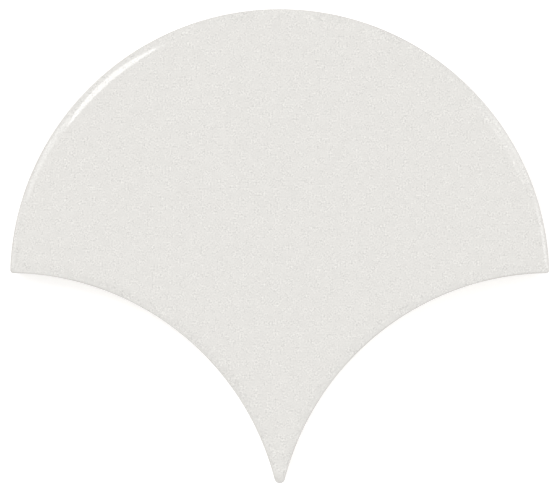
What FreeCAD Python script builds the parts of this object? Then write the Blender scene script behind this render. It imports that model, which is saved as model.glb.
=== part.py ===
import FreeCAD, Part
import math
import os
import Sketcher

# Glazed wall tile in the shape of a fish scale, lying on its back with the glazed face up.
# Origin: centre of the round head, on the back face.
# +X runs to the side, +Y to the crown of the head, +Z out of the glazed face.

Vector = FreeCAD.Vector
START = 1
END = 2
CENTRE = 3
AXES_CROSS = (-1, 1)
LEVEL = 1e-4
FULL_TURN = "360"

DIMENSIONS = [
    ("head_radius", 60.0, "Radius of the round head, half the tile width"),
    ("joint_width", 1.0, "Grout joint between a flank and the head it takes"),
    ("side_gap", 0.25, "Half the gap between the corners of two tiles in a row"),
    ("crown_rise", 0.25, "Rise of the next row's crowns above the head centres"),
    ("corner_radius", 0.7, "Rounding of the two side corners, seen from the face"),
    ("tip_radius", 1.2, "Rounding of the tip, seen from the face"),
    ("thickness", 9.0, "Back face to glazed face"),
    ("cushion_width", 2.7, "Width of the rounded rim, from side wall to flat face"),
    ("cushion_radius", 4.5, "Radius of the wide part of the rim, level with the flat face"),
    ("rim_radius", 0.6, "Radius of the tight part of the rim, upright at the side wall"),
    ("cutter_overrun", 0.4, "How far a rim cutter runs past the tile"),
    ("foot_chamfer", 0.6, "Chamfer around the back"),
    ("key_depth", 0.7, "Depth of a keying groove in the back"),
    ("key_width", 3.6, "Width of a keying groove at its mouth"),
    ("key_pitch", 7.2, "Spacing of the keying grooves"),
    ("key_border", 5.0, "Plain border around the keying grooves"),
    ("key_taper", 30.0, "Slope of the keying groove walls off upright, in degrees"),
]

doc = FreeCAD.newDocument("fish_scale_tile")
sheet = doc.addObject("Spreadsheet::Sheet", "dims")
for row, (alias, value, note) in enumerate(DIMENSIONS, start=1):
    sheet.set(f"A{row}", note)
    sheet.set(f"B{row}", str(value))
    sheet.setAlias(f"B{row}", alias)
doc.recompute()

# The flanks follow the heads of the next row: same centres, one joint larger.
PITCH_X = "(dims.head_radius + dims.side_gap)"
PITCH_Y = "(dims.head_radius - dims.crown_rise)"
FLANK_RADIUS = "(dims.head_radius + dims.joint_width)"


def read(expression):
    """Present value of an expression over the sheet, as a plain number."""
    return float(sheet.evalExpression(expression))


def crossing(first, first_radius, second, second_radius):
    """Point where two circles cross, on the left of the line from the first to the second."""
    gap = second - first
    along = (first_radius**2 - second_radius**2 + gap.Length**2) / (2 * gap.Length)
    aside = math.sqrt(first_radius**2 - along**2)
    step = gap / gap.Length
    return first + step * along + Vector(-step.y, step.x, 0) * aside


def bearing(centre, point):
    """Direction of a point as seen from a centre, in radians."""
    return math.atan2(point.y - centre.y, point.x - centre.x)


def arc(centre, radius, first, last):
    """Counter-clockwise arc on a circle turned so that its own start is never on the arc."""
    sweep = (last - first) % (2 * math.pi)
    before = math.pi - sweep / 2
    circle = Part.Circle(centre, Vector(0, 0, 1), radius)
    circle.AngleXU = first - before
    return Part.ArcOfCircle(circle, before, before + sweep)


def origin_plane(role):
    """One of the body's own origin planes."""
    return [item for item in body.Origin.OriginFeatures if item.Role == role][0]


def new_sketch(name, role):
    """Sketch on one of the body's origin planes."""
    sketch = body.newObject("Sketcher::SketchObject", name)
    sketch.AttachmentSupport = [(origin_plane(role), "")]
    sketch.MapMode = "FlatFace"
    return sketch


def join(sketch, kind, *ends):
    """The same constraint on several pairs of ends, each given as curve, end, curve, end."""
    for pair in ends:
        sketch.addConstraint(Sketcher.Constraint(kind, *pair))


def bind(sketch, name, expression, kind, *items):
    """Named size in a sketch, tied to an expression."""
    index = sketch.addConstraint(Sketcher.Constraint(kind, *items, read(expression)))
    sketch.renameConstraint(index, name)
    sketch.setExpression(f"Constraints.{name}", expression)


def measure(sketch, name, value, kind, *items):
    """Named size that a sketch only reports, for other features to follow."""
    index = sketch.addConstraint(Sketcher.Constraint(kind, *items, value))
    sketch.setDriving(index, False)
    sketch.renameConstraint(index, name)


body = doc.addObject("PartDesign::Body", "tile")
body.Label = "tile"

# Outline of the face: six arcs, each tangent to the next.
head_radius = read("dims.head_radius")
flank_radius = read(FLANK_RADIUS)
corner_radius = read("dims.corner_radius")
tip_radius = read("dims.tip_radius")
head = Vector(0, 0, 0)
right_flank = Vector(read(PITCH_X), -read(PITCH_Y), 0)
left_flank = Vector(-right_flank.x, right_flank.y, 0)
right_corner = crossing(head, head_radius - corner_radius, right_flank, flank_radius + corner_radius)
left_corner = Vector(-right_corner.x, right_corner.y, 0)
tip = crossing(left_flank, flank_radius + tip_radius, right_flank, flank_radius + tip_radius)

outline = new_sketch("outline", "XY_Plane")
HEAD, LEFT_CORNER, LEFT_FLANK, TIP, RIGHT_FLANK, RIGHT_CORNER = range(6)
outline.addGeometry(
    [
        arc(head, head_radius, bearing(head, right_corner), bearing(head, left_corner)),
        arc(left_corner, corner_radius, bearing(head, left_corner), bearing(left_corner, left_flank)),
        arc(left_flank, flank_radius, bearing(left_flank, tip), bearing(left_flank, left_corner)),
        arc(tip, tip_radius, bearing(tip, left_flank), bearing(tip, right_flank)),
        arc(right_flank, flank_radius, bearing(right_flank, right_corner), bearing(right_flank, tip)),
        arc(right_corner, corner_radius, bearing(right_corner, right_flank), bearing(head, right_corner)),
    ],
    False,
)
join(
    outline,
    "Tangent",
    (HEAD, END, LEFT_CORNER, START),
    (LEFT_CORNER, END, LEFT_FLANK, END),
    (LEFT_FLANK, START, TIP, START),
    (TIP, END, RIGHT_FLANK, END),
    (RIGHT_FLANK, START, RIGHT_CORNER, START),
    (RIGHT_CORNER, END, HEAD, START),
)
join(outline, "Coincident", (HEAD, CENTRE, *AXES_CROSS))
bind(outline, "left_x", PITCH_X, "DistanceX", LEFT_FLANK, CENTRE, *AXES_CROSS)
bind(outline, "left_y", PITCH_Y, "DistanceY", LEFT_FLANK, CENTRE, *AXES_CROSS)
bind(outline, "right_x", PITCH_X, "DistanceX", *AXES_CROSS, RIGHT_FLANK, CENTRE)
bind(outline, "right_y", PITCH_Y, "DistanceY", RIGHT_FLANK, CENTRE, *AXES_CROSS)
bind(outline, "head_size", "dims.head_radius", "Radius", HEAD)
bind(outline, "left_corner_size", "dims.corner_radius", "Radius", LEFT_CORNER)
bind(outline, "right_corner_size", "dims.corner_radius", "Radius", RIGHT_CORNER)
bind(outline, "left_flank_size", FLANK_RADIUS, "Radius", LEFT_FLANK)
bind(outline, "right_flank_size", FLANK_RADIUS, "Radius", RIGHT_FLANK)
bind(outline, "tip_size", "dims.tip_radius", "Radius", TIP)
measure(outline, "corner_x", right_corner.x, "DistanceX", *AXES_CROSS, RIGHT_CORNER, CENTRE)
measure(outline, "corner_y", right_corner.y, "DistanceY", *AXES_CROSS, RIGHT_CORNER, CENTRE)
measure(outline, "tip_y", -tip.y, "DistanceY", TIP, CENTRE, *AXES_CROSS)

blank = body.newObject("PartDesign::Pad", "pressed_blank")
blank.Profile = outline
blank.setExpression("Length", "dims.thickness")
doc.recompute()

# Cushioned rim: one profile of two tangent arcs, level at the flat face and upright at the wall.
# It is turned about the centre of each outline arc in turn, so neighbouring cuts meet in line.
CUSHION_Z = "(dims.thickness - dims.cushion_radius)"
ARCS_ACROSS = "(dims.cushion_width - dims.rim_radius)"
ARCS_APART = "(dims.cushion_radius - dims.rim_radius)"
RIM_Z = f"({CUSHION_Z} + sqrt({ARCS_APART} ^ 2 - {ARCS_ACROSS} ^ 2))"
CUTTER_TOP = "(dims.thickness + dims.cutter_overrun)"

CORNER_X = "(outline.Constraints.corner_x / 1 mm)"
CORNER_Y = "(outline.Constraints.corner_y / 1 mm)"
TIP_Y = "(outline.Constraints.tip_y / 1 mm)"
HEAD_BEARING = f"atan2({CORNER_Y}; {CORNER_X})"
FLANK_BEARING = f"atan2({PITCH_Y} + {CORNER_Y}; {PITCH_X} - {CORNER_X})"
TIP_BEARING = f"atan2({PITCH_Y} - {TIP_Y}; {PITCH_X})"


def rim_cut(name, axis, turn, sweep, wall, side, inner):
    """Groove the rim about an upright axis, given as two expressions for x and y.

    turn is the clockwise turn of the profile's plane from +X and sweep is the angle cut, both as
    expressions. wall is the radius of the side wall, and side is 1 if the tile lies outside that
    radius or -1 if it lies inside. inner is the radius at which the cut starts.
    """
    profile = new_sketch(f"{name}_profile", "XZ_Plane")
    clockwise = FreeCAD.Rotation(Vector(0, -1, 0), read(turn))
    profile.AttachmentOffset = FreeCAD.Placement(Vector(0, 0, 0), clockwise)
    profile.setExpression("AttachmentOffset.Base.x", axis[0])
    profile.setExpression("AttachmentOffset.Base.z", f"-({axis[1]})")
    profile.setExpression("AttachmentOffset.Rotation.Angle", turn)

    cushion_x = f"{wall} + {side} * dims.cushion_width"
    outer = f"{wall} - {side} * dims.cutter_overrun"
    cushion_radius = read("dims.cushion_radius")
    rim_radius = read("dims.rim_radius")
    cushion = Vector(read(cushion_x), read(CUSHION_Z), 0)
    rim = Vector(read(wall) + side * rim_radius, read(RIM_Z), 0)
    rise = math.sqrt(cushion_radius**2 - (read(inner) - cushion.x) ** 2)
    first = Vector(read(inner), cushion.y + rise, 0)
    between = rim + (rim - cushion) * (rim_radius / (rim - cushion).Length)
    last = Vector(read(wall), rim.y, 0)
    out_low = Vector(read(outer), rim.y, 0)
    out_high = Vector(read(outer), read(CUTTER_TOP), 0)
    in_high = Vector(first.x, read(CUTTER_TOP), 0)
    near, far = (START, END)[::side]
    cushion_ends = (bearing(cushion, first), bearing(cushion, between))[::side]
    rim_ends = (bearing(rim, between), bearing(rim, last))[::side]

    CUSHION, RIM, SHELF, OUTER, TOP, INNER = range(6)
    profile.addGeometry(
        [
            arc(cushion, cushion_radius, *cushion_ends),
            arc(rim, rim_radius, *rim_ends),
            Part.LineSegment(last, out_low),
            Part.LineSegment(out_low, out_high),
            Part.LineSegment(out_high, in_high),
            Part.LineSegment(in_high, first),
        ],
        False,
    )
    join(profile, "Tangent", (CUSHION, far, RIM, near))
    join(
        profile,
        "Coincident",
        (RIM, far, SHELF, START),
        (SHELF, END, OUTER, START),
        (OUTER, END, TOP, START),
        (TOP, END, INNER, START),
        (INNER, END, CUSHION, near),
    )
    join(profile, "Horizontal", (RIM, CENTRE, RIM, far), (SHELF,), (TOP,))
    join(profile, "Vertical", (OUTER,), (INNER,))
    bind(profile, "cushion_size", "dims.cushion_radius", "Radius", CUSHION)
    bind(profile, "rim_size", "dims.rim_radius", "Radius", RIM)
    bind(profile, "cushion_x", cushion_x, "DistanceX", *AXES_CROSS, CUSHION, CENTRE)
    bind(profile, "cushion_z", CUSHION_Z, "DistanceY", *AXES_CROSS, CUSHION, CENTRE)
    bind(profile, "wall_x", wall, "DistanceX", *AXES_CROSS, RIM, far)
    bind(profile, "outer_x", outer, "DistanceX", *AXES_CROSS, OUTER, START)
    bind(profile, "top_z", CUTTER_TOP, "DistanceY", *AXES_CROSS, TOP, START)
    bind(profile, "inner_x", inner, "DistanceX", *AXES_CROSS, INNER, START)

    cut = body.newObject("PartDesign::Groove", name)
    cut.Profile = profile
    cut.ReferenceAxis = (profile, ["V_Axis"])
    cut.Midplane = sweep != FULL_TURN
    cut.setExpression("Angle", sweep)
    doc.recompute()
    return cut


HEAD_INNER = "dims.head_radius - dims.cushion_width"
FLANK_INNER = f"{FLANK_RADIUS} + dims.cushion_width"
CORNER_TURN = f"({FLANK_BEARING} - {HEAD_BEARING}) / 2"
CORNER_SWEEP = f"{FLANK_BEARING} + {HEAD_BEARING}"
TIP_SWEEP = f"180 deg - 2 * {TIP_BEARING}"
rim_cut("head_rim", ("0", "0"), "90", FULL_TURN, "dims.head_radius", -1, HEAD_INNER)
for hand, mirror, turn, corner_turn in [
    ("right", "", "0", CORNER_TURN),
    ("left", "-", "180", f"180 deg - {CORNER_TURN}"),
]:
    flank_axis = (mirror + PITCH_X, f"-{PITCH_Y}")
    rim_cut(f"{hand}_flank_rim", flank_axis, turn, FULL_TURN, FLANK_RADIUS, 1, FLANK_INNER)
    corner_axis = (mirror + CORNER_X, CORNER_Y)
    rim_cut(f"{hand}_corner_rim", corner_axis, corner_turn, CORNER_SWEEP, "dims.corner_radius", -1, "0")
tip_rim = rim_cut("tip_rim", ("0", f"-{TIP_Y}"), "90", TIP_SWEEP, "dims.tip_radius", -1, "0")

# Chamfer all round the back.
foot_edges = []
for number, edge in enumerate(tip_rim.Shape.Edges, start=1):
    if edge.BoundBox.ZMax < LEVEL:
        foot_edges.append(f"Edge{number}")
foot = body.newObject("PartDesign::Chamfer", "foot")
foot.Base = (tip_rim, foot_edges)
foot.setExpression("Size", "dims.foot_chamfer")
doc.recompute()

# Keying grooves in the back: round-ended slots whose ends keep the border from the outline.
KEY_HEAD = "(dims.head_radius - dims.key_border - dims.key_width / 2)"
KEY_FLANK = f"({FLANK_RADIUS} + dims.key_border + dims.key_width / 2)"
keys = new_sketch("key_slots", "XY_Plane")
half_width = read("dims.key_width / 2")
steps = 2 * int(head_radius / read("dims.key_pitch")) + 1
slots = 0
for step in range(-steps, steps + 1, 2):
    row_y = f"({step} * dims.key_pitch / 2)"
    head_reach = f"sqrt(max(0; {KEY_HEAD} ^ 2 - {row_y} ^ 2))"
    flank_reach = f"{PITCH_X} - sqrt(max(0; {KEY_FLANK} ^ 2 - ({PITCH_Y} + {row_y}) ^ 2))"
    reach = f"min({head_reach}; {flank_reach})"
    if read(reach) < 2 * half_width:
        continue
    right = Vector(read(reach), read(row_y), 0)
    left = Vector(-right.x, right.y, 0)
    up = Vector(0, half_width, 0)
    RIGHT, UPPER, LEFT, LOWER = range(4 * slots, 4 * slots + 4)
    slots += 1
    keys.addGeometry(
        [
            arc(right, half_width, -math.pi / 2, math.pi / 2),
            Part.LineSegment(right + up, left + up),
            arc(left, half_width, math.pi / 2, -math.pi / 2),
            Part.LineSegment(left - up, right - up),
        ],
        False,
    )
    join(
        keys,
        "Tangent",
        (RIGHT, END, UPPER, START),
        (UPPER, END, LEFT, START),
        (LEFT, END, LOWER, START),
        (LOWER, END, RIGHT, START),
    )
    join(keys, "Equal", (RIGHT, LEFT))
    join(keys, "Horizontal", (UPPER,))
    bind(keys, f"width_{slots}", "dims.key_width / 2", "Radius", RIGHT)
    bind(keys, f"right_{slots}", reach, "DistanceX", *AXES_CROSS, RIGHT, CENTRE)
    bind(keys, f"left_{slots}", reach, "DistanceX", LEFT, CENTRE, *AXES_CROSS)
    above = (*AXES_CROSS, RIGHT, CENTRE)
    below = (RIGHT, CENTRE, *AXES_CROSS)
    bind(keys, f"row_{slots}", f"abs{row_y}", "DistanceY", *(above if step > 0 else below))
grooves = body.newObject("PartDesign::Pocket", "keying_grooves")
grooves.Profile = keys
grooves.Reversed = True
grooves.setExpression("Length", "dims.key_depth")
grooves.setExpression("TaperAngle", "-dims.key_taper")
doc.recompute()

# Every feature has to be sound before the part is written.
for item in doc.Objects:
    if "Invalid" in item.State or "Error" in item.State:
        raise RuntimeError(f"{item.Name}: {item.getStatusString()}")
if body.Shape.isNull() or not body.Shape.isValid() or len(body.Shape.Solids) != 1:
    raise RuntimeError("the tile is not one sound solid")
os.makedirs("parts", exist_ok=True)
body.Shape.exportStep(f"parts/{body.Label}.step")
box = body.Shape.optimalBoundingBox()
print("tile", box, round(body.Shape.Volume), "mm3")
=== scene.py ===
# %% [markdown]
# # A glazed fish scale tile
#
# The object is one pressed ceramic wall tile. Its glossy off-white face has a soft, rolled rim.
# The glaze runs a little way down the side walls and stops in an uneven line. Below that line
# and on the back the fired clay, called biscuit, is bare.
#
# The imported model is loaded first, because it fixes where everything is. It is in metres, and
# the lesson works in millimetres until the points go into a mesh.

import bpy
import numpy as np
from mathutils import Matrix
from mathutils.geometry import delaunay_2d_cdt


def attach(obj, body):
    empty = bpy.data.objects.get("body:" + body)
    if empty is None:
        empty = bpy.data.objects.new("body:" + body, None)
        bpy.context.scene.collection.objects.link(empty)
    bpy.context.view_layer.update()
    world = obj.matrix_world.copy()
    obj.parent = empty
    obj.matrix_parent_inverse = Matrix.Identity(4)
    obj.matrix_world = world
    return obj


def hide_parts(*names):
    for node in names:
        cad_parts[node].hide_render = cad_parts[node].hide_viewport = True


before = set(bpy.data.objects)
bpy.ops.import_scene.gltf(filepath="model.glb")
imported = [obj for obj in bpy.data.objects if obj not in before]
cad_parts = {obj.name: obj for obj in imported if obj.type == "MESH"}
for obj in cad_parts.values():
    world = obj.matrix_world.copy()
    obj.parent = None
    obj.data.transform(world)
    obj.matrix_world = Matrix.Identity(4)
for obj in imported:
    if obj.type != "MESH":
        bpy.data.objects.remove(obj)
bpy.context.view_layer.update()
MM = 0.001
print("CAD nodes:", list(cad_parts))

# %% [markdown]
# ## The outline: six arcs that touch
#
# Seen from the face, the tile is a round head, two hollow flanks and a small tip. Each flank is
# part of a circle about the centre of a tile in the next row, one grout joint larger than that
# tile's head. Small arcs round off the tip and the two side corners.
#
# The outline could be drawn as a curve and bevelled, but a bevel wider than the corner arcs
# would fold over itself. A ring function is safer: it works out the same six arcs again for any
# inset, with corner arcs of any size, so rings never cross.

# %% The ring function
HEAD_RADIUS = 60.0
JOINT_WIDTH = 1.0
PITCH = np.array([60.25, 59.75])
FLANK_RADIUS = HEAD_RADIUS + JOINT_WIDTH
CENTRE_GAP = np.hypot(*PITCH)
ARC_POINTS = np.array([372, 14, 162, 26, 162, 14])

arc_of_point = np.repeat(np.arange(len(ARC_POINTS)), ARC_POINTS)
way_along_arc = np.concatenate([np.arange(count) / count for count in ARC_POINTS])


def rings(inset, corner, tip):
    """Closed rings of points, one row for each inset, as an array of rows, points and x, y.

    The head is an arc of radius head - inset about the origin. Each flank is an arc of radius
    flank + inset about a neighbour's centre. A corner circle touches the head from inside and
    the flank from outside, so its centre is where circles of radius head - inset - corner and
    flank + inset + corner cross. The tip circle touches both flanks from outside, so its centre
    is on the middle line, flank + inset + tip away from a neighbour's centre.
    """
    inset, corner, tip = np.broadcast_arrays(*map(np.atleast_1d, (inset, corner, tip)))
    head_r = HEAD_RADIUS - inset
    flank_r = FLANK_RADIUS + inset
    inner = head_r - corner
    along = (inner**2 - (flank_r + corner) ** 2 + CENTRE_GAP**2) / (2 * CENTRE_GAP)
    aside = np.sqrt(inner**2 - along**2)
    corner_x = (along * PITCH[0] + aside * PITCH[1]) / CENTRE_GAP
    corner_y = (aside * PITCH[0] - along * PITCH[1]) / CENTRE_GAP
    tip_y = np.sqrt((flank_r + tip) ** 2 - PITCH[0] ** 2) - PITCH[1]

    zero = np.zeros_like(head_r)
    side = np.full_like(head_r, PITCH[0])
    down = np.full_like(head_r, -PITCH[1])
    centre_x = np.stack([zero, -corner_x, -side, zero, side, corner_x], 1)
    centre_y = np.stack([zero, corner_y, down, tip_y, down, corner_y], 1)
    radius = np.stack([head_r, corner, flank_r, tip, flank_r, corner], 1)

    to_head = np.arctan2(corner_y, corner_x)
    to_flank = np.arctan2(down - corner_y, side - corner_x)
    tip_to_flank = np.arctan2(down - tip_y, side)
    starts = [
        to_head,
        np.pi - to_head,
        -to_flank,
        np.pi - tip_to_flank,
        np.pi + tip_to_flank,
        to_flank,
    ]
    ends = [
        np.pi - to_head,
        np.pi - to_flank,
        -tip_to_flank,
        2 * np.pi + tip_to_flank,
        np.pi + to_flank,
        to_head,
    ]
    start = np.stack(starts, 1)[:, arc_of_point]
    end = np.stack(ends, 1)[:, arc_of_point]
    angle = start + (end - start) * way_along_arc
    x = centre_x[:, arc_of_point] + radius[:, arc_of_point] * np.cos(angle)
    y = centre_y[:, arc_of_point] + radius[:, arc_of_point] * np.sin(angle)
    return np.stack([x, y], 2)


print("a ring has", len(way_along_arc), "points on", len(ARC_POINTS), "arcs")

# %% Measure the outline
CORNER_RADIUS = 0.7
TIP_RADIUS = 1.2

outline = rings(0.0, CORNER_RADIUS, TIP_RADIUS)[0]
steps = np.linalg.norm(np.roll(outline, -1, 0) - outline, axis=1)
way_round = np.concatenate([[0], np.cumsum(steps)[:-1]]) / steps.sum()
print("outline:", len(outline), "points,", round(steps.sum(), 1), "mm round")
print("width and height in mm:", np.round(np.ptp(outline, axis=0), 2).tolist())

# %% [markdown]
# ## The section: a soft cushion edge
#
# A glazed tile has no sharp edge. The face stays flat up to a few millimetres from the wall,
# rolls over on a wide arc and then turns down on a tight one. The glaze flows over the corners
# too, so the crease where two rims meet is washed out.
#
# A bevel modifier would make one round arc. Here the section is two tangent arcs given as inset
# and height, and every step of the section is one ring. Inner rings get larger corner arcs,
# which is what softens the creases.

# %% Two tangent arcs
THICKNESS = 9.0
CUSHION_WIDTH = 2.7
CUSHION_RADIUS = 4.5
RIM_RADIUS = 0.6
WIDE_STEPS = 16
TIGHT_STEPS = 12

# Where the arcs touch, both lean by the same angle. Its sine is the distance between their
# centres across the rim, divided by the difference of their radii.
meeting = np.arcsin((CUSHION_WIDTH - RIM_RADIUS) / (CUSHION_RADIUS - RIM_RADIUS))
rim_height = THICKNESS - CUSHION_RADIUS + (CUSHION_RADIUS - RIM_RADIUS) * np.cos(meeting)
wide = np.linspace(0, meeting, WIDE_STEPS + 1)
tight = np.linspace(meeting, np.pi / 2, TIGHT_STEPS + 1)[1:]
cushion_inset = np.concatenate(
    [CUSHION_WIDTH - CUSHION_RADIUS * np.sin(wide), RIM_RADIUS - RIM_RADIUS * np.sin(tight)]
)
cushion_height = np.concatenate(
    [THICKNESS - CUSHION_RADIUS * (1 - np.cos(wide)), rim_height + RIM_RADIUS * np.cos(tight)]
)
print("rim meets the wall at", round(rim_height, 3), "mm")

# %% Rings of the face and rim
CORNER_SOFTNESS = 0.55
FACE_MIDDLE = np.array([0.0, 10.0, THICKNESS])
FACE_SHARES = np.array([0.12, 0.35, 0.6, 0.82])


def soft_rings(inset):
    """Rings whose corner and tip arcs grow in step with the inset."""
    growth = CORNER_SOFTNESS * np.asarray(inset)
    return rings(inset, CORNER_RADIUS + growth, TIP_RADIUS + growth)


def lift(flat, height):
    """Add a height to every point of flat rings: one for each ring, or one for each point."""
    height = np.broadcast_to(np.reshape(height, (len(flat), -1)), flat.shape[:2])
    return np.concatenate([flat, height[..., None]], 2)


cushion = lift(soft_rings(cushion_inset), cushion_height)
face = FACE_MIDDLE + (cushion[0] - FACE_MIDDLE) * FACE_SHARES[:, None, None]
print("face rings:", len(face), "and cushion rings:", len(cushion))

# %% [markdown]
# ## The glaze line
#
# Wet glaze is poured over the face, so it creeps down the walls unevenly, with a few short runs,
# and dries in a rounded lip. That lip is a real step of about a sixth of a millimetre, and it
# catches light. It is modelled, not painted: the height of the line is a sum of sine waves
# around the outline, and the lip's rings follow it.

# %% The wavy line
LINE_HEIGHT = 5.3
RUN_DEPTH = 0.55


def waves(turns, depths, starts):
    """Sum of sine waves round the outline, with whole numbers of turns, so that the ends meet."""
    phase = 2 * np.pi * (np.outer(turns, way_round) + np.array(starts)[:, None])
    return np.array(depths) @ np.sin(phase)


drift = waves([3, 5, 8, 13, 29], [0.34, 0.26, 0.20, 0.13, 0.05], [0.11, 0.62, 0.35, 0.87, 0.2])
runs = np.maximum(waves([7, 11], [0.75, 0.55], [0.4, 0.05]), 0) ** 3
glaze_line = LINE_HEIGHT + drift - RUN_DEPTH * runs
print("glaze line from", round(glaze_line.min(), 2), "to", round(glaze_line.max(), 2), "mm")

# %% Glazed wall and lip
GLAZE_STEP = 0.16
LIP_HEIGHT = 0.3
LIP_SHARE = 0.8
LIP_TURNS = np.radians([15, 30, 45, 60, 75, 90])
WALL_HOLLOW = 0.07
HOLLOW_SKEW = 1.6
WALL_RINGS = 12

wall_share = np.linspace(0, 1, WALL_RINGS + 1)[1:]
wall_inset = WALL_HOLLOW * np.sin(np.pi * wall_share**HOLLOW_SKEW) ** 2
wall_height = rim_height + (glaze_line + LIP_HEIGHT - rim_height) * wall_share[:, None]
lip_inset = GLAZE_STEP * LIP_SHARE * (1 - np.cos(LIP_TURNS))
lip_height = glaze_line + LIP_HEIGHT * (1 - np.sin(LIP_TURNS))[:, None]
glazed_wall = np.concatenate(
    [
        lift(soft_rings(wall_inset), wall_height),
        lift(soft_rings(lip_inset), lip_height),
        lift(soft_rings([GLAZE_STEP]), glaze_line[None]),
    ]
)
print("glazed wall rings:", len(glazed_wall))

# %% [markdown]
# ## The bare wall and the foot
#
# Below the lip the wall is bare biscuit, set back by the thickness of the glaze. It ends in a
# small rounded foot, because a sharp edge of pressed clay would chip.
#
# A bevel could round the foot. More rings of the same kind are simpler, and their points stay
# in line with those of the glaze above.

# %% Rings of the bare wall and foot
FOOT_CHAMFER = 0.6
FOOT_TURNS = np.radians([22.5, 45, 67.5, 90])
LINE_SEAM = 0.02
BARE_SHARES = np.array([0.0, 0.03, 0.3, 0.6, 0.97, 1.0])

bare_top = glaze_line - LINE_SEAM
bare_foot = FOOT_CHAMFER + GLAZE_STEP
bare_height = bare_top + (bare_foot - bare_top) * BARE_SHARES[:, None]
foot_inset = GLAZE_STEP + FOOT_CHAMFER * (1 - np.cos(FOOT_TURNS))
foot_height = bare_foot * (1 - np.sin(FOOT_TURNS))
bare_wall = np.concatenate(
    [
        lift(soft_rings(np.full(len(BARE_SHARES), GLAZE_STEP)), bare_height),
        lift(soft_rings(foot_inset), foot_height),
    ]
)
print("bare wall rings:", len(bare_wall))

# %% [markdown]
# ## The back: keying grooves
#
# The back of a wall tile is pressed with shallow grooves, which hold the adhesive. They have
# sloping walls, so that the tile leaves the die, and round ends that stay clear of the edge.
#
# Cutting them with a boolean modifier would leave an untidy mesh. Each groove is instead a
# small section carried round a long, round-ended path, and the edges of the section are eased
# because pressed clay is never sharp.

# %% Where the grooves lie
KEY_HALF_WIDTH = 1.8
KEY_PITCH = 7.2
KEY_BORDER = 5.0
KEY_COUNT = 10
FIRST_KEY = -18.0

key_y = FIRST_KEY + KEY_PITCH * np.arange(KEY_COUNT)
clear = KEY_BORDER + KEY_HALF_WIDTH
under_head = np.sqrt((HEAD_RADIUS - clear) ** 2 - key_y**2)
flank_half = np.sqrt(np.maximum((FLANK_RADIUS + clear) ** 2 - (PITCH[1] + key_y) ** 2, 0))
key_reach = np.minimum(under_head, PITCH[0] - flank_half)
print("grooves reach to each side, in mm:", np.round(key_reach, 1).tolist())

# %% Rings of the grooves
KEY_DEPTH = 0.7
KEY_SLOPE = np.tan(np.radians(30))
EASE_HEIGHTS = np.array([0.0, 0.02, 0.08, 0.20])
EASE_WIDTHS = np.array([0.13, 0.06, 0.015, 0.0])
END_POINTS = 15


def groove_rings(half_width, height):
    """Round-ended rings of every groove, as an array of grooves, rings, points and x, y, z.

    A ring is two half circles of radius half_width about the ends of the groove's middle line,
    reach to the right and reach to the left of the tile's middle. It lies at the given height.
    """
    half_turn = np.linspace(-np.pi / 2, np.pi / 2, END_POINTS)
    angle = np.concatenate([half_turn, half_turn + np.pi])
    end = np.repeat([1.0, -1.0], END_POINTS)
    radius = np.asarray(half_width)[None, :, None]
    x = key_reach[:, None, None] * end + radius * np.cos(angle)
    y = key_y[:, None, None] + radius * np.sin(angle)
    z = np.asarray(height)[None, :, None]
    return np.stack(np.broadcast_arrays(x, y, z), 3)


section_height = np.concatenate([EASE_HEIGHTS, KEY_DEPTH - EASE_HEIGHTS[::-1]])
easing = np.concatenate([EASE_WIDTHS, -EASE_WIDTHS[::-1]])
grooves = groove_rings(KEY_HALF_WIDTH - KEY_SLOPE * section_height + easing, section_height)
print("grooves:", len(grooves), "of", grooves.shape[1], "rings with", grooves.shape[2], "points")

# %% [markdown]
# ## One closed mesh
#
# The tile is one piece, so all rings go into one mesh. Quads join each ring to the next, a fan
# closes the middle of the face, and one flat face closes the floor of each groove. The rings
# are numbered one after the other, so the quads come from whole arrays of numbers.

# %% Points and quads
shell = np.concatenate([face, cushion, glazed_wall, bare_wall])
around = shell.shape[1]
glazed_rings = len(shell) - len(bare_wall)
foot_start = 1 + around * (len(shell) - 1)
groove_start = 1 + around * len(shell)
groove_size = grooves.shape[1] * grooves.shape[2]
points = np.concatenate([FACE_MIDDLE[None], shell.reshape(-1, 3), grooves.reshape(-1, 3)])


def ring_quads(first, ring_count, point_count):
    """Quads that join each closed ring to the next, for rings numbered one after the other."""
    ring, place = np.meshgrid(np.arange(ring_count - 1), np.arange(point_count), indexing="ij")
    beside = (place + 1) % point_count
    low, high = ring * point_count, (ring + 1) * point_count
    corners = [low + place, high + place, high + beside, low + beside]
    return first + np.stack(corners, 2).reshape(-1, 4)


here = np.arange(around)
fan = np.stack([np.zeros(around, int), 1 + here, 1 + (here + 1) % around], 1)
glaze_quads = ring_quads(1, glazed_rings, around)
bare_quads = ring_quads(1 + around * (glazed_rings - 1), len(bare_wall) + 1, around)
groove_first = groove_start + groove_size * np.arange(KEY_COUNT)
groove_quads = np.concatenate([ring_quads(start, *grooves.shape[1:3]) for start in groove_first])
mouth = np.arange(grooves.shape[2])
groove_floors = groove_first[:, None] + groove_size - 1 - mouth
print("points:", len(points), "face fan:", len(fan), "glaze quads:", len(glaze_quads))
print("bare wall quads:", len(bare_quads), "groove quads:", len(groove_quads))

# %% [markdown]
# ## The land between the grooves
#
# Around the grooves the back is flat: one sheet with ten long holes. A fan or a grid can't fill
# such a sheet without crossing a hole.
#
# Blender's constrained triangulation takes the loops as they are and adds no points, so the land
# shares its edges with the foot and the grooves. It covers the holes too. A triangle with all its
# corners on one groove lies over a hole, and is left out.

# %% Fill the land
INSIDE_ONLY = 1
SAME_POINT = 1e-6


def closed_edges(numbers):
    """Edges that join a list of point numbers into a loop."""
    return np.stack([numbers, np.roll(numbers, -1)], 1)


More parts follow.
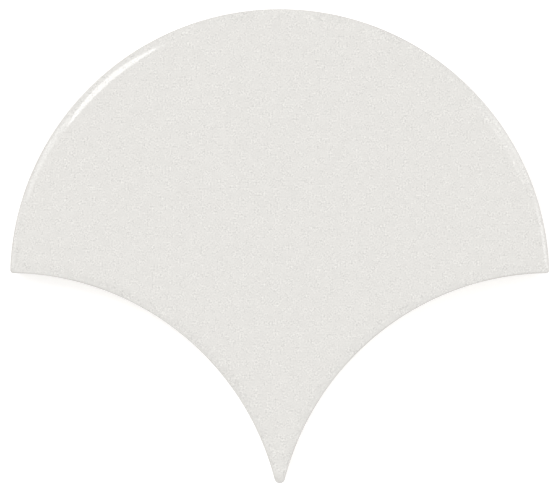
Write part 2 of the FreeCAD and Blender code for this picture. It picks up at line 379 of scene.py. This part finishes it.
loops = [np.arange(foot_start, groove_start)] + [start + mouth for start in groove_first]
land_points = np.concatenate(loops)
loop_sizes = np.array([len(loop) for loop in loops])
loop_starts = np.cumsum(loop_sizes) - loop_sizes
land_edges = np.concatenate(
    [closed_edges(start + np.arange(size)) for start, size in zip(loop_starts, loop_sizes)]
)
flat_points = points[land_points, :2].tolist()
filled = delaunay_2d_cdt(flat_points, land_edges.tolist(), [], INSIDE_ONLY, SAME_POINT)
came_from = np.array(filled[3])[:, 0]
triangles = came_from[np.array(filled[2])]
loop_of_corner = np.repeat(np.arange(len(loops)), loop_sizes)[triangles]
over_groove = (np.ptp(loop_of_corner, axis=1) == 0) & (loop_of_corner[:, 0] > 0)
land = land_points[triangles[~over_groove]][:, ::-1]
print("land:", len(land), "triangles from", len(land_points), "loop points")

# %% [markdown]
# ## The tile as a piece of the scene
#
# Two material slots part the glaze from the bare biscuit along the lip. Every face is shaded
# smooth, and only the edge under the lip stays sharp.
#
# Two values are kept for every point: how much of the tight rim it lies on, and how far it is
# below the glaze line. The materials read them, so that their colours follow the shape: thin
# glaze and painted shade on the rim, mist under the glaze line. They could be painted by hand,
# but worked out they fit every ring exactly.

# %% Build the mesh
SHARP_ANGLE = np.radians(40)

tile_mesh = bpy.data.meshes.new("glazed_tile")
glazed_lists = [fan, glaze_quads]
bare_lists = [bare_quads, groove_quads, land, groove_floors]
faces = [row for rows in glazed_lists + bare_lists for row in rows.tolist()]
tile_mesh.from_pydata((points * MM).tolist(), [], faces)
face_counts = [sum(map(len, glazed_lists)), sum(map(len, bare_lists))]
finish_of_face = np.repeat([0, 1], face_counts).astype(np.int32)
tile_mesh.polygons.foreach_set("material_index", finish_of_face)
tile_mesh.polygons.foreach_set("use_smooth", np.ones(len(faces), bool))
tile_mesh.set_sharp_from_angle(angle=SHARP_ANGLE)
edge_of_corner = np.empty(len(tile_mesh.loops), np.int32)
tile_mesh.loops.foreach_get("edge_index", edge_of_corner)
open_edges = int((np.bincount(edge_of_corner) != 2).sum())
print("glazed tile:", len(faces), "faces, edges not shared by two faces:", open_edges)

# %% Values for the materials
RIM_FULL_INSET = 0.09
RIM_END_INSET = 0.39
RIM_FADE_DOWN = 0.9

ring_height = shell[..., 2]
on_rim = np.zeros(shell.shape[:2])
cushion_rows = slice(len(face), len(face) + len(cushion))
wall_rows = slice(len(face) + len(cushion), glazed_rings)
rim_share = (RIM_END_INSET - cushion_inset) / (RIM_END_INSET - RIM_FULL_INSET)
on_rim[cushion_rows] = np.clip(rim_share, 0, 1)[:, None]
on_rim[wall_rows] = np.clip(1 - (rim_height - ring_height[wall_rows]) / RIM_FADE_DOWN, 0, 1)
below_line = np.clip(glaze_line - ring_height, 0, None)
groove_points = len(points) - groove_start
point_values = {
    "rim": np.concatenate([[0], on_rim.ravel(), np.zeros(groove_points)]),
    "below_glaze": np.concatenate([[0], below_line.ravel(), np.full(groove_points, LINE_HEIGHT)]),
}
for name, values in point_values.items():
    attribute = tile_mesh.attributes.new(name, "FLOAT", "POINT")
    attribute.data.foreach_set("value", values.astype(np.float32))
    print(name, "from", round(values.min(), 2), "to", round(values.max(), 2))

# %% [markdown]
# ## A flat map for the export
#
# Other programs can't run Blender's material nodes, so the export paints the finishes into a
# picture. A flat map, called a UV map, gives every face its place there. Blender's Smart UV
# Project could lay it out, but it cuts the grooves and the rim into slivers thinner than a
# pixel, and those come out as dark lines.
#
# Here the tile is opened out into two sheets, the glazed half and the bare half, each in one
# piece. The face, the wide arc and the back lie as they are seen. Around them the rings are as
# far apart as along the surface, so the tight arc and the walls fold outwards. The bare sheet
# is seen from below, and lies in a hollow of the glazed one, as the next tile in a wall does.

# %% Open out the two sheets
SHEET_SHIFT = np.array([62.0, -75.0])
FROM_BELOW = np.array([-1, 1])


def opened(solid_rings, inset):
    """Rings opened out flat, as an array of rings, points and x, y.

    The first ring keeps its inset. Every other one is parallel to it, outside by its distance
    from the first, measured along the surface and averaged round the ring.
    """
    gaps = np.linalg.norm(np.diff(solid_rings, axis=0), axis=2).mean(1)
    reach = np.concatenate([[0], np.cumsum(gaps)])
    rounding = CORNER_SOFTNESS * inset + reach
    return rings(inset - reach, CORNER_RADIUS + rounding, TIP_RADIUS + rounding)


def sheet(ring_places):
    """Flat places of all points: the face's middle, the given rings and the grooves."""
    flat_grooves = grooves[..., :2].reshape(-1, 2)
    return np.concatenate([FACE_MIDDLE[None, :2], ring_places.reshape(-1, 2), flat_grooves])


# The glazed sheet folds where the tight arc starts, the bare one where the foot leaves the back.
fold = len(face) + WIDE_STEPS
lip_edge = glazed_rings - 1
seen_flat = shell[..., :2]
opened_glaze = opened(shell[fold:glazed_rings], cushion_inset[WIDE_STEPS])
opened_wall = opened(shell[lip_edge:][::-1], foot_inset[-1])[::-1]
glazed_sheet = sheet(np.concatenate([seen_flat[:fold], opened_glaze, seen_flat[glazed_rings:]]))
bare_sheet = sheet(np.concatenate([seen_flat[:lip_edge], opened_wall])) * FROM_BELOW
sheets = np.stack([glazed_sheet, bare_sheet + SHEET_SHIFT])
print("opened glaze in mm:", np.ptp(opened_glaze[-1], axis=0).round(1).tolist())
print("opened biscuit in mm:", np.ptp(opened_wall[0], axis=0).round(1).tolist())

# %% Write the map
# The export paints its pictures through a map of this name.
MAP_NAME = "OFBake"
MAP_BORDER = 0.01

point_of_corner = np.empty(len(tile_mesh.loops), np.int32)
tile_mesh.loops.foreach_get("vertex_index", point_of_corner)
corners_of_face = np.empty(len(faces), np.int32)
tile_mesh.polygons.foreach_get("loop_total", corners_of_face)
places = sheets[np.repeat(finish_of_face, corners_of_face), point_of_corner]
map_width = np.ptp(places, axis=0).max()
shares = MAP_BORDER + (1 - 2 * MAP_BORDER) * (places - places.min(0)) / map_width
flat_map = tile_mesh.uv_layers.new(name=MAP_NAME)
flat_map.uv.foreach_set("vector", shares.astype(np.float32).ravel())
print("the flat map covers", np.round(np.ptp(places, axis=0), 1).tolist(), "mm")


# %% Put the tile in the frame
def add_object(name, data):
    """A new object for a mesh, lamp or camera, linked into the scene."""
    made = bpy.data.objects.new(name, data)
    bpy.context.scene.collection.objects.link(made)
    return made


glazed_tile = add_object("glazed_tile", tile_mesh)
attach(glazed_tile, "root")
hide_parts("tile")
print("the glazed tile stands for the CAD tile")

# %% [markdown]
# ## Helpers for materials
#
# A Blender material is a tree of nodes. Adding nodes by hand in the editor is good for trying
# things out. In a script a few helpers keep it readable: each adds one node, fills its inputs
# with numbers or links, and hands back the result.

# %% Node helpers
# The Mix node has inputs for each kind of data. These are the numbers of its colour sockets.
COLOUR_A, COLOUR_B, COLOUR_RESULT = 6, 7, 2

print("node sockets as Blender", bpy.app.version_string, "numbers them")


def add_node(tree, kind, values=None, **settings):
    """Add a node, set its settings, and give each named input a value or a link."""
    made = tree.nodes.new(kind)
    for name, setting in settings.items():
        setattr(made, name, setting)
    for name, value in (values or {}).items():
        if isinstance(value, bpy.types.NodeSocket):
            tree.links.new(value, made.inputs[name])
        else:
            made.inputs[name].default_value = value
    return made


def add_math(tree, operation, *values, clamp=False):
    """Work out an operation, such as ADD, over the given values or sockets."""
    inputs = dict(enumerate(values))
    made = add_node(tree, "ShaderNodeMath", inputs, operation=operation, use_clamp=clamp)
    return made.outputs[0]


def add_span(tree, mask, low, high):
    """Stretch a mask, so that 0 becomes low and 1 becomes high."""
    return add_math(tree, "MULTIPLY_ADD", mask, high - low, low)


def add_ramp(tree, value, start, end):
    """Rise smoothly from 0 at start to 1 at end."""
    limits = {"Value": value, "From Min": start, "From Max": end}
    made = add_node(tree, "ShaderNodeMapRange", limits, interpolation_type="SMOOTHSTEP")
    return made.outputs[0]


def add_mix(tree, share, first, second):
    """Blend two colours, or colour sockets, by a share from 0 to 1."""
    inputs = {0: share, COLOUR_A: first, COLOUR_B: second}
    return add_node(tree, "ShaderNodeMix", inputs, data_type="RGBA").outputs[COLOUR_RESULT]


def add_noise(tree, place, scale, detail, roughness=0.5):
    """Cloudy noise about 0.5, with so many finer layers, each weaker by the roughness."""
    values = {"Vector": place, "Scale": scale, "Detail": detail, "Roughness": roughness}
    return add_node(tree, "ShaderNodeTexNoise", values).outputs[0]


# %% [markdown]
# ## Grain that both finishes share
#
# Glaze and biscuit are fired from ground minerals, so both show a fine grain, a slow drift over
# centimetres and a few small round pits. Only the sizes and strengths differ.
#
# The effect is therefore one node group with its sizes as inputs. It gives three masks, and
# each material decides what they do to its colour, gloss and relief. The textures read Object
# coordinates, which on this piece are metres in the tile's own frame.

# %% The kiln grain group
PIT_RADIUS = (0.06, 0.28)
PIT_EDGE = (1.6, 0.9)

kiln_grain = bpy.data.node_groups.new("kiln_grain", "ShaderNodeTree")
sockets = kiln_grain.interface
sockets.new_socket("Place", in_out="INPUT", socket_type="NodeSocketVector")
for name in ("Grain Scale", "Drift Scale", "Pit Scale", "Pit Share"):
    sockets.new_socket(name, in_out="INPUT", socket_type="NodeSocketFloat")
for name in ("Grain", "Drift", "Pits"):
    sockets.new_socket(name, in_out="OUTPUT", socket_type="NodeSocketFloat")

given = kiln_grain.nodes.new("NodeGroupInput").outputs
grain = add_noise(kiln_grain, given["Place"], given["Grain Scale"], detail=1.0)
tone_drift = add_noise(kiln_grain, given["Place"], given["Drift Scale"], 3.0, roughness=0.55)
cells = {"Vector": given["Place"], "Scale": given["Pit Scale"]}
pit_cells = add_node(kiln_grain, "ShaderNodeTexVoronoi", cells).outputs
pit_draw = add_node(kiln_grain, "ShaderNodeSeparateColor", {"Color": pit_cells["Color"]}).outputs
pit_chosen = add_math(kiln_grain, "LESS_THAN", pit_draw["Red"], given["Pit Share"])
pit_radius = add_span(kiln_grain, pit_draw["Green"], *PIT_RADIUS)
pit_reach = add_math(kiln_grain, "DIVIDE", pit_cells["Distance"], pit_radius)
ragged_reach = add_math(kiln_grain, "ADD", pit_reach, grain)
pit_shape = add_ramp(kiln_grain, ragged_reach, *PIT_EDGE)
pits = add_math(kiln_grain, "MULTIPLY", pit_chosen, pit_shape)
add_node(kiln_grain, "NodeGroupOutput", {"Grain": grain, "Drift": tone_drift, "Pits": pits})
print("kiln grain group:", len(kiln_grain.nodes), "nodes")


# %% Start a material
def per_mm(size):
    """Texture scale for features of about the given size in millimetres."""
    return 1 / (size * MM)


def start_material(name, grain_size, drift_size, pit_size, pit_share):
    """A new material with its shader and a kiln grain node, for sizes in millimetres."""
    material = bpy.data.materials.new(name)
    material.use_nodes = True
    tree = material.node_tree
    place = add_node(tree, "ShaderNodeTexCoord").outputs["Object"]
    values = {
        "Place": place,
        "Grain Scale": per_mm(grain_size),
        "Drift Scale": per_mm(drift_size),
        "Pit Scale": per_mm(pit_size),
        "Pit Share": pit_share,
    }
    masks = add_node(tree, "ShaderNodeGroup", values, node_tree=kiln_grain).outputs
    return material, tree, tree.nodes["Principled BSDF"], masks, place


print("texture scale for features of 1 mm:", round(per_mm(1.0)))

# %% [markdown]
# ## The glaze
#
# The face is a glossy off-white glaze. Up close it isn't one flat colour: opaque crystals give
# it a fine colourless speckle, stronger where they gather in clusters, and a faint mottle over a
# few millimetres. Over the tight rim the melt runs thin, so the darker body shows through a
# little, and painted shade darkens that rolled edge further. The gloss drifts slowly, and the
# surface has a faint orange peel.
#
# Glaze is glass over clay, so a plain dielectric shader with low roughness is enough. The
# relief is only thousandths of a millimetre high, so a bump is right for it.

# %% Glaze colour
GLAZE_LIGHT = (0.956, 0.939, 0.902, 1)
GLAZE_SHADE = (0.638, 0.626, 0.601, 1)
# Darker grey for the rim: partly thin glaze over the body, partly painted shade.
GLAZE_THIN_AND_SHADE = (0.65, 0.63, 0.60, 1)
CLUSTER_SIZE = 1.5
CLUSTER_LEVELS = (0.3, 0.7)
SPECKLE_CONTRAST = (0.45, 1.85)
MOTTLE_SIZE = 1.9
MOTTLE_TONE = (-0.105, 0.105)
THIN_AND_SHADE_LEVELS = (0.3, 0.8)

glaze, tree, shader, masks, place = start_material(
    "glossy_glaze", grain_size=0.36, drift_size=16, pit_size=7, pit_share=0.06
)
clusters = add_noise(tree, place, per_mm(CLUSTER_SIZE), detail=0.0)
contrast = add_span(tree, add_ramp(tree, clusters, *CLUSTER_LEVELS), *SPECKLE_CONTRAST)
crystals = add_math(tree, "SUBTRACT", masks["Grain"], 0.5)
speckle = add_math(tree, "MULTIPLY_ADD", crystals, contrast, 0.5)
mottle = add_noise(tree, place, per_mm(MOTTLE_SIZE), detail=2.0)
tone = add_math(tree, "ADD", speckle, add_span(tree, mottle, *MOTTLE_TONE), clamp=True)
glaze_colour = add_mix(tree, tone, GLAZE_SHADE, GLAZE_LIGHT)
# The rim is darkened: partly thin glaze over the body, partly painted shade along the rolled
# edge.
rim_value = add_node(tree, "ShaderNodeAttribute", attribute_name="rim").outputs["Fac"]
thin_and_shade = add_math(tree, "MULTIPLY", rim_value, add_ramp(tree, masks["Drift"], *THIN_AND_SHADE_LEVELS))
glaze_colour = add_mix(tree, thin_and_shade, glaze_colour, GLAZE_THIN_AND_SHADE)
tree.links.new(glaze_colour, shader.inputs["Base Color"])
print("glaze colour:", len(tree.nodes), "nodes")

# %% Glaze gloss and relief
GLAZE_IOR = 1.5
GLAZE_ROUGHNESS = (0.04, 0.10)
PIT_ROUGHNESS = 0.1
PEEL_SIZE = 3.5
PEEL_HEIGHT = 0.008

gloss = add_span(tree, masks["Drift"], *GLAZE_ROUGHNESS)
gloss = add_math(tree, "MULTIPLY_ADD", masks["Pits"], PIT_ROUGHNESS, gloss)
tree.links.new(gloss, shader.inputs["Roughness"])
peel = add_noise(tree, place, per_mm(PEEL_SIZE), detail=1.0)
bump = {"Strength": 1.0, "Distance": PEEL_HEIGHT * MM, "Height": peel}
relief = add_node(tree, "ShaderNodeBump", bump).outputs[0]
tree.links.new(relief, shader.inputs["Normal"])
shader.inputs["IOR"].default_value = GLAZE_IOR
tile_mesh.materials.append(glaze)
print("glaze:", len(tree.nodes), "nodes")

# %% [markdown]
# ## The biscuit
#
# The bare body is a fine cream clay, matte and slightly sandy, with open pores. A mist of glaze
# whitens it just under the glaze line, and the ribs on the back carry a powdery white wash that
# keeps the tile from sticking to the kiln. The grooves stay cream.
#
# The mist follows the distance below the glaze line that was kept with the points. The wash
# follows the height, because only the faces that touch the kiln shelf get it.

# %% Biscuit colour
BISCUIT_LIGHT = (0.80, 0.735, 0.645, 1)
BISCUIT_SHADE = (0.60, 0.525, 0.43, 1)
# Colour of the painted shade inside the pores.
BISCUIT_PIT_SHADE = (0.36, 0.30, 0.235, 1)
WHITE_MIST = (0.82, 0.80, 0.76, 1)
CLAY_GRAIN = (-0.35, 0.75)
CLAY_DRIFT = 0.7
MIST_DEPTH = 1.1
MIST_LEVELS = (0.3, 0.6)
WASH_HEIGHTS = (0.06 * MM, 0.01 * MM)
WASH_LEVELS = (0.2, 0.62)
WHITE_SHARE = 0.75
PIT_SHADE = 0.7

biscuit, tree, shader, masks, place = start_material(
    "bare_biscuit", grain_size=0.3, drift_size=9, pit_size=0.8, pit_share=0.16
)
tone = add_span(tree, masks["Grain"], *CLAY_GRAIN)
tone = add_math(tree, "MULTIPLY_ADD", masks["Drift"], CLAY_DRIFT, tone, clamp=True)
clay_colour = add_mix(tree, tone, BISCUIT_SHADE, BISCUIT_LIGHT)
below = add_node(tree, "ShaderNodeAttribute", attribute_name="below_glaze").outputs["Fac"]
under_line = add_ramp(tree, below, MIST_DEPTH, 0.0)
mist = add_math(tree, "MULTIPLY", under_line, add_ramp(tree, masks["Grain"], *MIST_LEVELS))
height = add_node(tree, "ShaderNodeSeparateXYZ", {"Vector": place}).outputs["Z"]
on_rib = add_ramp(tree, height, *WASH_HEIGHTS)
wash = add_math(tree, "MULTIPLY", on_rib, add_ramp(tree, masks["Drift"], *WASH_LEVELS))
white = add_math(tree, "MULTIPLY", add_math(tree, "MAXIMUM", mist, wash), WHITE_SHARE)
clay_colour = add_mix(tree, white, clay_colour, WHITE_MIST)
# Painted shade: the pores are darkened, as the inside of a small hole lies in shade.
painted_pit_shade = add_math(tree, "MULTIPLY", masks["Pits"], PIT_SHADE)
clay_colour = add_mix(tree, painted_pit_shade, clay_colour, BISCUIT_PIT_SHADE)
tree.links.new(clay_colour, shader.inputs["Base Color"])
print("biscuit colour:", len(tree.nodes), "nodes")

# %% Biscuit surface
BISCUIT_ROUGHNESS = (0.75, 0.95)
BISCUIT_SPECULAR = 0.35
SAND_HEIGHT = 0.06
PIT_DEPTH = -1.2

matte = add_span(tree, masks["Grain"], *BISCUIT_ROUGHNESS)
tree.links.new(matte, shader.inputs["Roughness"])
sand = add_math(tree, "MULTIPLY_ADD", masks["Pits"], PIT_DEPTH, masks["Grain"])
bump = {"Strength": 1.0, "Distance": SAND_HEIGHT * MM, "Height": sand}
relief = add_node(tree, "ShaderNodeBump", bump).outputs[0]
tree.links.new(relief, shader.inputs["Normal"])
shader.inputs["Specular IOR Level"].default_value = BISCUIT_SPECULAR
tile_mesh.materials.append(biscuit)
print("biscuit:", len(tree.nodes), "nodes")

# %% [markdown]
# ## Floor and surroundings
#
# The tile lies on a plain white table. The floor is lit like everything else, so it keeps the
# tile's shadow. A little glow that only the camera and mirror-like reflections see lifts it to
# white, and the surroundings do the same. That puts no extra light on the tile.

# %% Floor
FLOOR_HALF = 4.0
FLOOR_COLOUR = (0.8, 0.8, 0.8, 1)
GLOW = (0.45, 0.70)
GLOW_REACH = (0.1, 0.8)


def add_seen(tree):
    """1 for rays from the camera or from a mirror or glass, and 0 for rays that carry light."""
    ray = add_node(tree, "ShaderNodeLightPath").outputs
    seen = add_math(tree, "MAXIMUM", ray["Is Camera Ray"], ray["Is Glossy Ray"])
    return add_math(tree, "MAXIMUM", seen, ray["Is Transmission Ray"])


floor_mesh = bpy.data.meshes.new("floor")
floor_corners = FLOOR_HALF * np.array([(-1, -1, 0), (1, -1, 0), (1, 1, 0), (-1, 1, 0)])
floor_mesh.from_pydata(floor_corners.tolist(), [], [(0, 1, 2, 3)])
floor = add_object("floor", floor_mesh)

white_table = bpy.data.materials.new("white_table")
white_table.use_nodes = True
tree = white_table.node_tree
tree.nodes.remove(tree.nodes["Principled BSDF"])
matte_floor = add_node(tree, "ShaderNodeBsdfDiffuse", {"Color": FLOOR_COLOUR}).outputs[0]
place = add_node(tree, "ShaderNodeTexCoord").outputs["Object"]
far = add_node(tree, "ShaderNodeVectorMath", {0: place}, operation="LENGTH").outputs["Value"]
glow_level = add_span(tree, add_ramp(tree, far, *GLOW_REACH), *GLOW)
glow_level = add_math(tree, "MULTIPLY", glow_level, add_seen(tree))
glow = add_node(tree, "ShaderNodeEmission", {"Strength": glow_level}).outputs[0]
both = add_node(tree, "ShaderNodeAddShader", {0: matte_floor, 1: glow}).outputs[0]
tree.links.new(both, tree.nodes["Material Output"].inputs["Surface"])
floor_mesh.materials.append(white_table)
print("floor", 2 * FLOOR_HALF, "m wide")

# %% Surroundings
WORLD_LIGHT = 0.64
WHITE = 1.0

world = bpy.data.worlds.new("white_room")
bpy.context.scene.world = world
world.use_nodes = True
tree = world.node_tree
level = add_span(tree, add_seen(tree), WORLD_LIGHT, WHITE)
room = tree.nodes["Background"]
room.inputs["Color"].default_value = (1, 1, 1, 1)
tree.links.new(level, room.inputs["Strength"])
print("room light", WORLD_LIGHT)

# %% [markdown]
# ## Studio light
#
# The white room gives most of the light. A long soft lamp stands behind the tile to its left.
# On the flat face its reflection misses the camera, but the rolled rim mirrors it as a bright
# streak at the upper left. Weaker lamps on both sides draw the faint lines along the rims there,
# low ones keep the outer edge of the head from going dark, and a dim one in front does the same
# for the flanks.
#
# Each lamp is given by the direction it is seen in from the nearest point of the rim, by the
# angles it spans there and by how bright it looks, as a multiple of white. Blender wants its
# power, which is four times that brightness times the lamp's area.

# %% Lamps
LAMP_DISTANCE = 1.6
LAMPS = {
    "streak_lamp": dict(azimuth=132, off_upright=30.5, across=14, along=32, brightness=4.2),
    "left_lamp": dict(azimuth=153, off_upright=48, across=17, along=28, brightness=1.6),
    "low_left_lamp": dict(azimuth=176, off_upright=66, across=30, along=24, brightness=0.7),
    "low_right_lamp": dict(azimuth=15, off_upright=68, across=50, along=20, brightness=0.5),
    "right_lamp": dict(azimuth=4, off_upright=54, across=22, along=16, brightness=2.0),
    "back_right_lamp": dict(azimuth=29, off_upright=54, across=20, along=16, brightness=1.4),
    "upper_right_lamp": dict(azimuth=30, off_upright=27, across=10, along=22, brightness=0.9),
    "front_lamp": dict(azimuth=285, off_upright=50, across=70, along=36, brightness=0.4),
}


def add_lamp(name, azimuth, off_upright, across, along, brightness):
    """An oval lamp that faces the rim, LAMP_DISTANCE away from the rim's point at that azimuth.

    Its width and height are twice that distance times the tangent of half the angle it spans.
    """
    turn, lean = np.radians([azimuth, off_upright])
    outward = np.array([np.sin(lean) * np.cos(turn), np.sin(lean) * np.sin(turn), np.cos(lean)])
    level = np.array([-np.sin(turn), np.cos(turn), 0.0])
    rim_point = np.array([HEAD_RADIUS * np.cos(turn), HEAD_RADIUS * np.sin(turn), THICKNESS]) * MM
    pose = np.eye(4)
    pose[:3, :3] = np.stack([level, np.cross(outward, level), outward], 1)
    pose[:3, 3] = rim_point + LAMP_DISTANCE * outward
    lamp = bpy.data.lights.new(name, "AREA")
    lamp.shape = "ELLIPSE"
    lamp.size, lamp.size_y = 2 * LAMP_DISTANCE * np.tan(np.radians([across, along]) / 2)
    lamp.energy = 4 * (np.pi / 4 * lamp.size * lamp.size_y) * brightness
    holder = add_object(name, lamp)
    holder.matrix_world = Matrix(pose.tolist())
    holder.visible_camera = False
    print(name, "power", round(lamp.energy, 2), "W")


for name, lamp_values in LAMPS.items():
    add_lamp(name, **lamp_values)

# %% [markdown]
# ## Camera
#
# The photograph looks straight down on the face, from far enough away that the walls hardly
# show. A long lens from that height gives the same flat view. Its height follows from the width
# that the frame should cover at the rim.

# %% Camera
LENS = 200.0
SENSOR = 36.0
FRAME_WIDTH = 124.6
AIM = np.array([0.06, 6.96])

camera_data = bpy.data.cameras.new("camera")
camera_data.lens = LENS
camera_data.sensor_width = SENSOR
camera = add_object("camera", camera_data)
camera_height = rim_height + FRAME_WIDTH * LENS / SENSOR
camera.location = (*(AIM * MM), camera_height * MM)
bpy.context.scene.camera = camera
bpy.context.scene.view_settings.view_transform = "Standard"
print("camera", round(camera_height), "mm above the floor")
